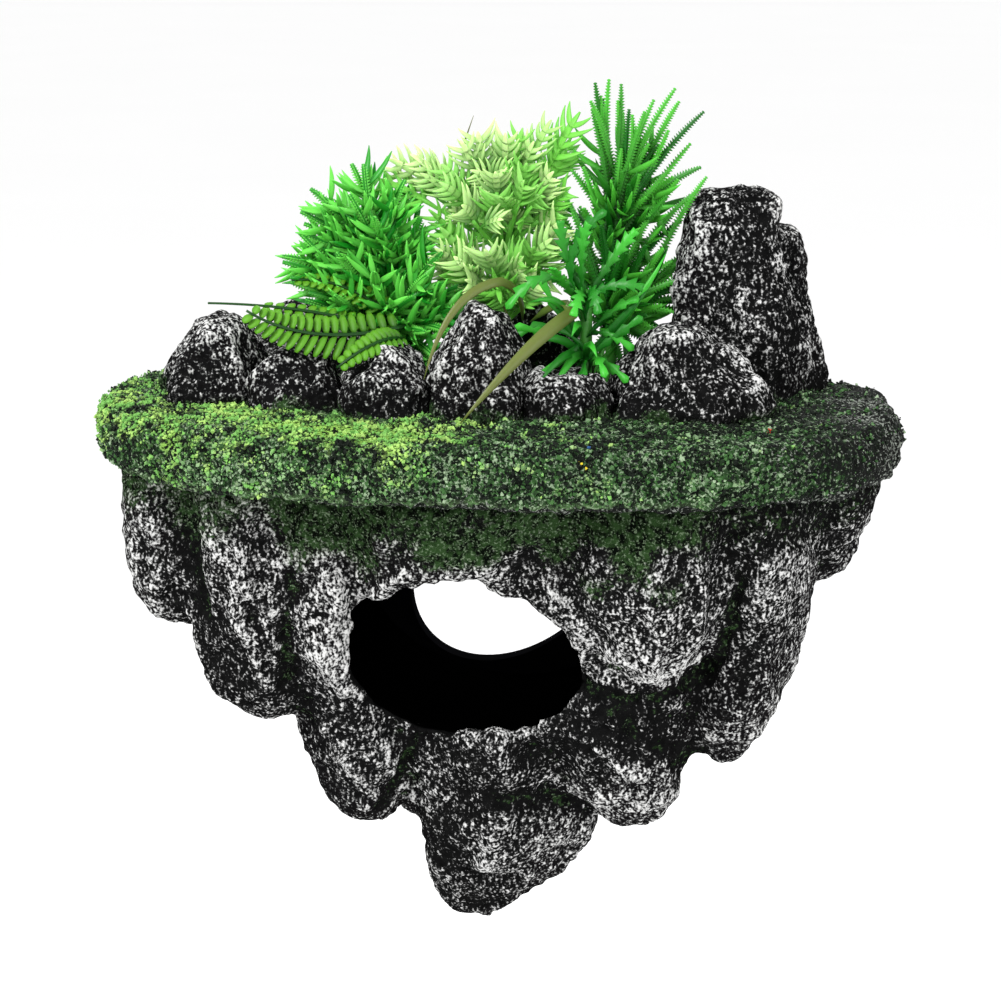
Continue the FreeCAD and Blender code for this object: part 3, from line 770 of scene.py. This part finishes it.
def lobed_leaf(leaves, start, end, droop, width, tint):
    """A leaf cut into pointed lobes along a broad midrib."""
    path = bezier(start, (start + end) / 2 + droop, end, 12)
    facing = Vector((leaves.chance.uniform(-0.6, 0.6), -1, leaves.chance.uniform(0.0, 0.8)))
    widths = [width * (0.05 + 0.12 * math.sin(math.pi * (i / 12) ** 1.2)) for i in range(12)]
    leaves.strip(path, widths + [0.03 * width], facing, tint)
    for k in range(LOBE_PAIRS):
        share = 0.25 + 0.52 * k / (LOBE_PAIRS - 1)
        at = int(round(share * 12))
        along = (path[at + 1] - path[at - 1]).normalized()
        side = along.cross(facing).normalized()
        reach = width * (1.25 - 0.75 * (share - 0.4)) * leaves.chance.uniform(0.8, 1.15)
        for sign in (-1, 1):
            out = along * 0.80 + side * sign * 0.72 + facing * leaves.chance.uniform(-0.25, 0.15)
            mid = path[at] + (along * 0.30 + side * sign * 0.48) * reach
            lobe = bezier(path[at], mid, path[at] + out * reach, 5)
            taper = [width * w for w in (0.08, 0.12, 0.11, 0.085, 0.05, 0.008)]
            leaves.strip(lobe, taper, facing, tint, 0.6 * share, 0.5 + 0.5 * share)


def jagged_leaf(leaves, start, control, end, width, tint, teeth):
    """A ribbon leaf with coarse forward-pointing teeth."""
    path = bezier(start, control, end, teeth * 3)
    facing = Vector((leaves.chance.uniform(-0.5, 0.5), -1, leaves.chance.uniform(0, 0.6)))
    widths = []
    for i in range(len(path)):
        share = i / (len(path) - 1)
        body = width * (0.25 + 1.0 * share) * (1 - 0.85 * share ** 7)
        widths.append(body * (0.35, 0.62, 1.0)[i % 3])
    leaves.strip(path, widths, facing, tint, lean=0.9)


def fern_frond(leaves, start, control, end, above, below, pitch, bare, facing):
    """A rachis with leaflets `above` and `below` it; `bare` is the leafless share at the tip."""
    length = (control - start).length + (end - control).length
    steps = int(length / pitch)
    path = bezier(start, control, end, steps)
    rachis = [0.48 * MM * (1 - 0.5 * i / steps) for i in range(steps + 1)]
    leaves.strip([p + facing * 0.25 * MM for p in path], rachis, facing, 1.0, fold=0.6)
    for i in range(1, int(steps * (1 - bare))):
        share = i / steps
        along = (path[i + 1] - path[i - 1]).normalized()
        side = along.cross(facing).normalized()
        if side.z < 0:
            side = -side
        taper = (1 - share / (1.10 - bare)) ** 0.5 * min(1, 0.55 + 2.5 * share)
        for sign, reach, lean in ((1, above, 0.05), (-1, below, 0.65)):
            out = (side * sign + along * lean).normalized()
            long = reach * taper
            tip = path[i] + out * long - facing * (0.12 * long)
            mid = path[i] + out * (0.5 * long) + facing * (0.06 * long)
            leaflet = bezier(path[i] + out * 0.3 * MM, mid, tip, 5)
            half = pitch * 0.44
            widths = [half * w for w in (0.40, 0.80, 0.98, 1.0, 0.86, 0.40)]
            tint = 0.15 + 0.5 * (1 - share)
            leaves.strip(leaflet, widths, facing, tint, 0.35 + 0.65 * share, 1.0, fold=0.12)


def leaf_material(name, base, tip, dark, roughness=0.36):
    """Moulded soft plastic with fine flow marks, darker at the base as painted shade inside the bush."""
    n = Nodes(name)
    # painted shade: colour runs from the dark base colour at the root to the tip colour along each branch
    # and leaf
    colour = n.mix(n.step(n.attribute("along"), 0.10, 0.95), base, tip)
    colour = n.mix(n.step(n.attribute("tint"), 0.35, 1.0), colour, dark)
    colour = n.mix(n.math("MULTIPLY", n.noise(2.2 * MM, 2.0), 0.30), colour, dark)
    n.shader.inputs["Subsurface Weight"].default_value = 0.15
    n.shader.inputs["Subsurface Radius"].default_value = (0.4 * MM, 0.9 * MM, 0.2 * MM)
    n.shader.inputs["Subsurface Scale"].default_value = 1.0
    n.shader.inputs["Specular IOR Level"].default_value = 0.25
    return n.finish(colour, roughness, n.bump(n.noise(0.9 * MM, 2.0), 0.12 * MM, 0.4))


# ---- plants ----
LEFT_LEAF = leaf_material("needle_plastic", base=(0.003, 0.050, 0.005), tip=(0.17, 0.72, 0.090),
                          dark=(0.008, 0.22, 0.012))
RIGHT_LEAF = leaf_material("comb_plastic", base=(0.002, 0.030, 0.002), tip=(0.085, 0.48, 0.040),
                          dark=(0.005, 0.11, 0.005))
FERN_LEAF = leaf_material("fern_plastic", base=(0.006, 0.07, 0.003), tip=(0.095, 0.30, 0.010),
                          dark=(0.005, 0.045, 0.003), roughness=0.5)
LIME_LEAF = leaf_material("lime_plastic", base=(0.012, 0.11, 0.006), tip=(0.72, 0.98, 0.40),
                          dark=(0.15, 0.50, 0.06))
BRIGHT_LEAF = leaf_material("bright_plastic", base=(0.002, 0.045, 0.003), tip=(0.05, 0.44, 0.030),
                          dark=(0.008, 0.14, 0.008))
GRASS_LEAF = leaf_material("olive_plastic", base=(0.06, 0.13, 0.015), tip=(0.12, 0.145, 0.030),
                          dark=(0.09, 0.095, 0.028))
# how far branches wander from the tips below, in millimetres along X, Y and Z
TIP_SPREAD = (3.5, 3, 3)

# branch tips of each plant, lower and upper: X, Y, Z
LEFT_LOW = [(-54, -50, 69), (-52, -50, 64), (-50, -48, 76), (-47, -53, 62), (-14, -50, 72), (-30, -56, 68),
            (-20, -56, 62), (-40, -56, 62), (-44, -30, 70), (-27, -26, 68), (-27, -58, 59), (-40, -52, 72),
            (-8, -54, 60), (-4, -46, 65), (-11, -58, 54), (-17, -60, 54), (-5, -50, 56), (-13, -52, 65),
            (-14, -59, 47), (-17, -57, 45)]
LEFT_HIGH = [(-37, -46, 93), (-34, -46, 93), (-47, -48, 87), (-50, -46, 81), (-24, -44, 89), (-26, -48, 85),
             (-40, -42, 80), (-20, -46, 80), (-32, -28, 85), (-31, -50, 80), (-17, -44, 74),
             (-50, -48, 76), (-44, -44, 84), (-37, -50, 86), (-54, -48, 70)]
RIGHT_LOW = [(17, -46, 84), (38, -48, 84), (44, -44, 80), (33, -52, 78), (46, -42, 86), (50, -46, 91),
             (25, -54, 80), (24, -30, 76), (40, -50, 74), (34, -54, 64), (42, -44, 70),
             (12, -48, 66), (15, -50, 60), (40, -50, 60), (37, -52, 55), (44, -46, 64), (10, -44, 74),
             (13, -42, 84), (12, -40, 79), (33, -55, 49), (38, -50, 50), (31, -56, 44), (41, -48, 52),
             (43, -48, 58), (45, -44, 61), (42, -40, 66), (46, -42, 72), (44, -48, 66)]
RIGHT_HIGH = [(24, -44, 110), (26, -45, 114), (29, -46, 113), (31, -46, 107), (42, -45, 112), (43, -46, 109),
              (36, -48, 99), (48, -44, 93), (20, -46, 93), (17, -44, 92), (28, -30, 100), (22, -46, 107),
              (41, -46, 98), (41, -50, 93), (34, -50, 92)]
LIME_LOW = [(-15, -48, 78), (-18, -46, 82), (-16, -50, 73), (-12, -52, 69), (-8, -54, 66), (13, -50, 76),
            (-3, -56, 74), (6, -54, 72), (1, -29, 74), (15, -48, 80), (10, -54, 66), (0, -54, 64),
            (6, -50, 60), (-6, -48, 60)]
LIME_HIGH = [(-6, -44, 101), (1, -46, 101), (5, -44, 102), (8, -46, 99), (12, -44, 104), (-15, -44, 93),
             (-23, -42, 95), (-29, -42, 94), (-32, -42, 89), (-10, -46, 99), (-15, -48, 89), (-1, -50, 92),
             (6, -50, 90), (0, -31, 92), (19, -44, 106), (-9, -52, 84), (13, -48, 92), (17, -46, 88),
             (14, -46, 83), (16, -44, 97)]


def branch(leaves, root, tips, k, scatter):
    """Start, control and end of branch k: to a listed tip, or near one of them."""
    chance = leaves.chance
    tip = Vector(tips[k] if k < len(tips) else chance.choice(tips)) * MM
    if k >= len(tips):
        tip = root.lerp(tip, chance.uniform(0.65, 0.95))
        tip += Vector([chance.gauss(0, spread) for spread in TIP_SPREAD]) * MM
    start = root + Vector([chance.gauss(0, scatter) for _ in range(3)]) * MM
    lift = (tip - start).length * chance.uniform(0.05, 0.20)
    sway = (chance.gauss(0, 1.5) * MM, chance.gauss(0, 1.5) * MM, lift)
    control = start.lerp(tip, 0.5) + Vector(sway)
    return start, control, tip


def grown(name, seed, material, thickness, body, node, build):
    """Build one bunch of leaves, ride it on its plant and let it replace a CAD whorl."""
    leaves = Foliage(seed)
    build(leaves)
    piece = leaves.piece(name, material, thickness * MM)
    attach(piece, body)
    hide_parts(node)
    return piece


def side_leaves(leaves, path, first, last, count, long, width):
    """Narrow leaves all round a stem."""
    chance = leaves.chance
    for k in range(count):
        i = int((first + (last - first) * k / (count - 1)) * (len(path) - 1))
        along = (path[i + 1] - path[max(i - 1, 0)]).normalized()
        round_it = chance.uniform(0, 2 * math.pi)
        across = along.orthogonal().normalized()
        out = across * math.cos(round_it) + along.cross(across) * math.sin(round_it)
        reach = long * chance.uniform(0.7, 1.2)
        tip = path[i] + (along * 0.70 + out * 0.70) * reach
        control = path[i] + (along * 0.30 + out * 0.45) * reach
        facing = Vector((chance.uniform(-0.6, 0.6), -1, chance.uniform(-0.2, 0.9)))
        tint, begin = chance.uniform(0, 1), 0.15 + 0.5 * i / len(path)
        lance_leaf(leaves, path[i], control, tip, width, tint, begin, facing)


def leafy_bush(root, tips, count):
    """A maker of leafy branches that end in toothed sprigs."""
    def build(leaves):
        for k in range(count):
            start, control, tip = branch(leaves, root, tips, k, 1.5)
            path = bezier(start, control, tip, 16)
            leaves.strip(path, [0.45 * MM] * 17, Vector((0, -1, 0)), 0.8, 0, 0.5, fold=0.6)
            side_leaves(leaves, path, 0.15, 0.78, 18, 9.5 * MM, 0.72 * MM)
            tint = leaves.chance.uniform(0, 0.8)
            comb_frond(leaves, path[7], path[12], path[16], 1.3 * MM, 0.80 * MM, tint, 0.4)
    return build


def comb_bush(root, tips, count):
    """A maker of long toothed fronds with narrow leaves between them."""
    def build(leaves):
        for k in range(count):
            start, control, tip = branch(leaves, root, tips, k, 1.6)
            tint = leaves.chance.uniform(0, 1)
            comb_frond(leaves, start, control, tip, 1.25 * MM, 0.85 * MM, tint)
            if k % 2:
                path = bezier(start, control, tip, 16)
                side_leaves(leaves, path, 0.10, 0.50, 4, 11 * MM, 0.75 * MM)
    return build


def lime_bush(root, tips, count):
    """A maker of stalks that each end in a lobed leaf, with two smaller ones lower down."""
    def build(leaves):
        for k in range(count):
            _, control, tip = branch(leaves, root, tips, k, 0)
            path = bezier(root, control, tip, 12)
            leaves.strip(path[:9], [0.42 * MM] * 9, Vector((0, -1, 0)), 0.9, 0, 0.3, fold=0.6)
            tint = leaves.chance.uniform(0, 1)
            width = leaves.chance.uniform(4.6, 6.2) * MM
            lobed_leaf(leaves, path[6], tip, mm(0, leaves.chance.gauss(0, 1.5), 1.5), width, tint)
            for at in (3, 6):
                turn = leaves.chance.uniform(0, 2 * math.pi)
                away = Vector((math.cos(turn), 0.7 * math.sin(turn), leaves.chance.uniform(0.2, 0.9)))
                end = path[at] + away.normalized() * leaves.chance.uniform(8, 11) * MM
                lobed_leaf(leaves, path[at], end, mm(0, 0, 1.5), 0.75 * width, tint)
    return build


def fern(leaves):
    """A broad low frond in front, one behind it with a bare tip, and two short ones."""
    facing = Vector((-0.15, -0.85, 0.50)).normalized()
    flat = Vector((-0.1, -0.65, 0.75)).normalized()
    fern_frond(leaves, mm(-22, -58, 55), mm(-44, -70, 51), mm(-58, -74, 61),
               6.6 * MM, 8.6 * MM, 2.3 * MM, 0.0, facing)
    fern_frond(leaves, mm(-26, -53, 52), mm(-42, -60, 60), mm(-70, -63, 60.5),
               3.4 * MM, 3.4 * MM, 2.5 * MM, 0.20, flat)
    fern_frond(leaves, mm(-26, -50, 55), mm(-38, -50, 66), mm(-51, -54, 65),
               4.5 * MM, 4.5 * MM, 2.2 * MM, 0.0, flat)
    fern_frond(leaves, mm(-22, -60, 52), mm(-26, -72, 56), mm(-36, -76, 48),
               5.0 * MM, 5.0 * MM, 2.2 * MM, 0.0, facing)


def curly_low(leaves):
    """Short curling strips and jagged leaves round the foot of the front plant."""
    root = mm(22, -60, 47)
    ends = [((17, -66, 58), (9, -68, 53)), ((27, -66, 58), (34, -66, 52)), ((20, -70, 56), (12, -75, 45)),
            ((25, -70, 55), (28, -75, 47)), ((30, -64, 58), (37, -62, 66)), ((14, -64, 62), (5, -66, 54)),
            ((22, -70, 62), (20, -76, 57)), ((28, -62, 62), (35, -64, 64)), ((18, -62, 66), (9, -66, 63)),
            ((24, -66, 52), (21, -74, 42)), ((19, -66, 50), (9, -72, 45)), ((27, -66, 50), (33, -70, 45)),
            ((33, -62, 58), (41, -58, 74)), ((16, -60, 58), (11, -60, 68)), ((20, -68, 54), (15, -74, 42)),
            ((29, -66, 55), (36, -66, 60)), ((23, -70, 58), (26, -76, 52)), ((15, -64, 55), (6, -70, 58))]
    for k, (middle, tip) in enumerate(ends):
        shift = (leaves.chance.gauss(0, 1.5), leaves.chance.gauss(0, 1), leaves.chance.uniform(-2, 7))
        start = root + Vector(shift) * MM
        tint = leaves.chance.uniform(0, 1)
        if k % 2:
            jagged_leaf(leaves, start, mm(*middle), mm(*tip), 1.6 * MM, tint, 4)
        else:
            lance_leaf(leaves, start, mm(*middle), mm(*tip), 1.0 * MM, tint)


def curly_high(leaves):
    """The tall jagged leaves of the front plant."""
    root = mm(22, -60, 60)
    ends = [((14, -63, 76), (27, -65, 85)), ((14, -66, 77), (4, -70, 62)), ((28, -62, 74), (34, -62, 80)),
            ((28, -66, 70), (36, -66, 67)), ((16, -62, 74), (16, -62, 82)), ((24, -68, 72), (26, -74, 62)),
            ((17, -65, 68), (15, -70, 72)), ((22, -66, 70), (20, -72, 61)), ((20, -64, 76), (23, -66, 82))]
    for middle, tip in ends:
        shift = (leaves.chance.gauss(0, 1.2), leaves.chance.gauss(0, 1), leaves.chance.uniform(-3, 3))
        start = root + Vector(shift) * MM
        jagged_leaf(leaves, start, mm(*middle), mm(*tip), 2.2 * MM, leaves.chance.uniform(0, 1), 7)


def blade(leaves, rise, fall, width, facing):
    """A grass blade that rises along one arch and falls along another."""
    path = bezier(*rise, 5)[:-1] + bezier(*fall, 10)
    widths = [width * max(0.05, math.sin(math.pi * (i / 15) ** 0.75) ** 0.8) for i in range(16)]
    leaves.strip(path, widths, facing, 0.2, 0.3)


def grass(leaves):
    """Two broad olive blades that hang over the front stones, and one thin upright blade."""
    facing = Vector((0.35, -0.8, 0.5))
    blade(leaves, (mm(6, -53, 56), mm(7, -58, 65), mm(2, -64, 67.5)),
          (mm(2, -64, 67.5), mm(-10, -71, 67), mm(-15, -77, 46)), 1.15 * MM, facing)
    blade(leaves, (mm(8, -54, 56), mm(18, -59, 65), mm(19, -67, 60.5)),
          (mm(19, -67, 60.5), mm(10, -80, 56), mm(-5, -88, 38)), 1.7 * MM, facing)
    lance_leaf(leaves, mm(4, -52, 54), mm(-18, -30, 84), mm(-8, -36, 104), 0.45 * MM, 0.9, 0.3, facing)


# ---- build ----
def coat(piece, material):
    piece.data.materials.append(material)
    smooth_shade(piece.data)


ROCK = rock_material()
MOSS = moss_material()

shell = cave_skin()
coat(shell, ROCK)
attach(shell, "rock")
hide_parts("cave_shell")

ledge = ledge_skin()
coat(ledge, MOSS)
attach(ledge, "rock")
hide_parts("ledge")

flakes = moss_flakes(ledge, FLAKE_COUNT, 51)
flakes.data.materials.append(flake_material())
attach(flakes, "rock")

for number, node in enumerate(STONE_NODES):
    stone = stone_skin(node, 200 + 10 * number)
    coat(stone, ROCK)
    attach(stone, "rock")
    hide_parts(node)

grown("fern_leaves", 1, FERN_LEAF, 0.3, "fern", "fern_fronds", fern)
grown("needle_left_low_leaves", 2, LEFT_LEAF, 0.3, "needle_plant_left", "needle_left_lower_whorl",
      leafy_bush(mm(-30, -42, 51), LEFT_LOW, 29))
grown("needle_left_high_leaves", 3, LEFT_LEAF, 0.3, "needle_plant_left", "needle_left_upper_whorl",
      leafy_bush(mm(-30, -41, 64), LEFT_HIGH, 22))
grown("lime_low_leaves", 4, LIME_LEAF, 0.3, "lime_plant", "lime_lower_whorl",
      lime_bush(mm(0, -41, 53), LIME_LOW, 20))
grown("lime_high_leaves", 5, LIME_LEAF, 0.3, "lime_plant", "lime_upper_whorl",
      lime_bush(mm(0, -40, 70), LIME_HIGH, 30))
grown("needle_right_low_leaves", 6, RIGHT_LEAF, 0.32, "needle_plant_right", "needle_right_lower_whorl",
      comb_bush(mm(27, -43, 54), RIGHT_LOW, 50))
grown("needle_right_high_leaves", 7, RIGHT_LEAF, 0.32, "needle_plant_right", "needle_right_upper_whorl",
      comb_bush(mm(27, -42, 73), RIGHT_HIGH, 44))
grown("curly_low_leaves", 8, BRIGHT_LEAF, 0.4, "curly_plant", "curly_lower_whorl", curly_low)
grown("curly_high_leaves", 9, BRIGHT_LEAF, 0.4, "curly_plant", "curly_upper_whorl", curly_high)
grown("grass_leaves", 10, GRASS_LEAF, 0.35, "grass", "grass_blades", grass)


def stem_material():
    """Green moulded stalks."""
    n = Nodes("stem_plastic")
    colour = n.mix(n.noise(3 * MM, 2.0), (0.02, 0.14, 0.015), (0.06, 0.30, 0.03))
    return n.finish(colour, 0.4, n.bump(n.noise(0.8 * MM), 0.15 * MM, 0.5))


def vinyl_material():
    """Clear soft vinyl, a little cloudy."""
    n = Nodes("clear_vinyl")
    colour = n.mix(n.noise(6 * MM, 2.0), (0.80, 0.84, 0.84), (0.90, 0.93, 0.92))
    n.shader.inputs["Transmission Weight"].default_value = 0.75
    n.shader.inputs["IOR"].default_value = 1.52
    return n.finish(colour, 0.16, n.bump(n.noise(5 * MM), 0.2 * MM, 0.2))


def panel_material():
    """Smooth black cast resin with faint trowel marks."""
    n = Nodes("panel_resin")
    colour = n.mix(n.noise(8 * MM, 4.0, 0.6), (0.001, 0.001, 0.0012), (0.006, 0.006, 0.007))
    rough = n.math("ADD", n.math("MULTIPLY", n.noise(5 * MM, 2.0), 0.3), 0.45)
    height = n.plus(n.noise(3 * MM, 4.0, 0.6), n.noise(12 * MM), 1.5)
    n.shader.inputs["Specular IOR Level"].default_value = 0.0
    return n.finish(colour, rough, n.bump(height, 0.5 * MM, 0.6))


def dress(name_part, material):
    """Give every shown CAD node whose name holds name_part a new material."""
    for name, node in frame["nodes"].items():
        if name_part in name:
            node.data.materials.clear()
            node.data.materials.append(material)


dress("_stem", stem_material())
dress("suction_cup", vinyl_material())
dress("back_panel", panel_material())


# ---- floor, light and camera ----
def floor():
    """A wide pale floor well below the point of the rock."""
    half = 30.0
    level = cad_box[0][Z] - 300 * MM
    corners = [(-half, -half, level), (half, -half, level), (half, half, level), (-half, half, level)]
    mesh = bpy.data.meshes.new("floor")
    mesh.from_pydata(corners, [], [(0, 1, 2, 3)])
    obj = link(bpy.data.objects.new("floor", mesh))
    n = Nodes("pale_floor")
    colour = n.mix(n.noise(0.4, 2.0), (0.97, 0.97, 0.97), (0.99, 0.99, 0.99))
    mesh.materials.append(n.finish(colour, 0.8))


def lamp(name, place, target, size, power):
    """A soft square light that faces a point."""
    light = bpy.data.lights.new(name, "AREA")
    light.size = size
    light.energy = power
    obj = link(bpy.data.objects.new(name, light))
    obj.location = place
    obj.rotation_euler = (Vector(target) - Vector(place)).to_track_quat("-Z", "Y").to_euler()


def world(strength):
    """Even white surroundings."""
    surroundings = bpy.data.worlds.new("studio")
    surroundings.use_nodes = True
    background = surroundings.node_tree.nodes["Background"]
    background.inputs["Color"].default_value = (1, 1, 1, 1)
    background.inputs["Strength"].default_value = strength
    bpy.context.scene.world = surroundings


def camera(place, target, lens):
    data = bpy.data.cameras.new("camera")
    data.lens = lens
    data.sensor_width = 36
    obj = link(bpy.data.objects.new("camera", data))
    obj.location = place
    obj.rotation_euler = (Vector(target) - Vector(place)).to_track_quat("-Z", "Y").to_euler()
    bpy.context.scene.camera = obj


floor()
world(1.0)
MIDDLE = (0, -0.054, 0.0)
lamp("key", (-0.55, -0.75, 0.85), MIDDLE, 0.5, 14)
lamp("fill", (0.7, -0.7, 0.35), MIDDLE, 0.7, 4)
lamp("rim", (0.1, 0.7, 0.7), MIDDLE, 0.6, 6)
camera((0.064226, -0.620345, 0.163303), (0.0007, -0.054, 0.0106), 85)

bpy.context.scene.view_settings.view_transform = "Standard"
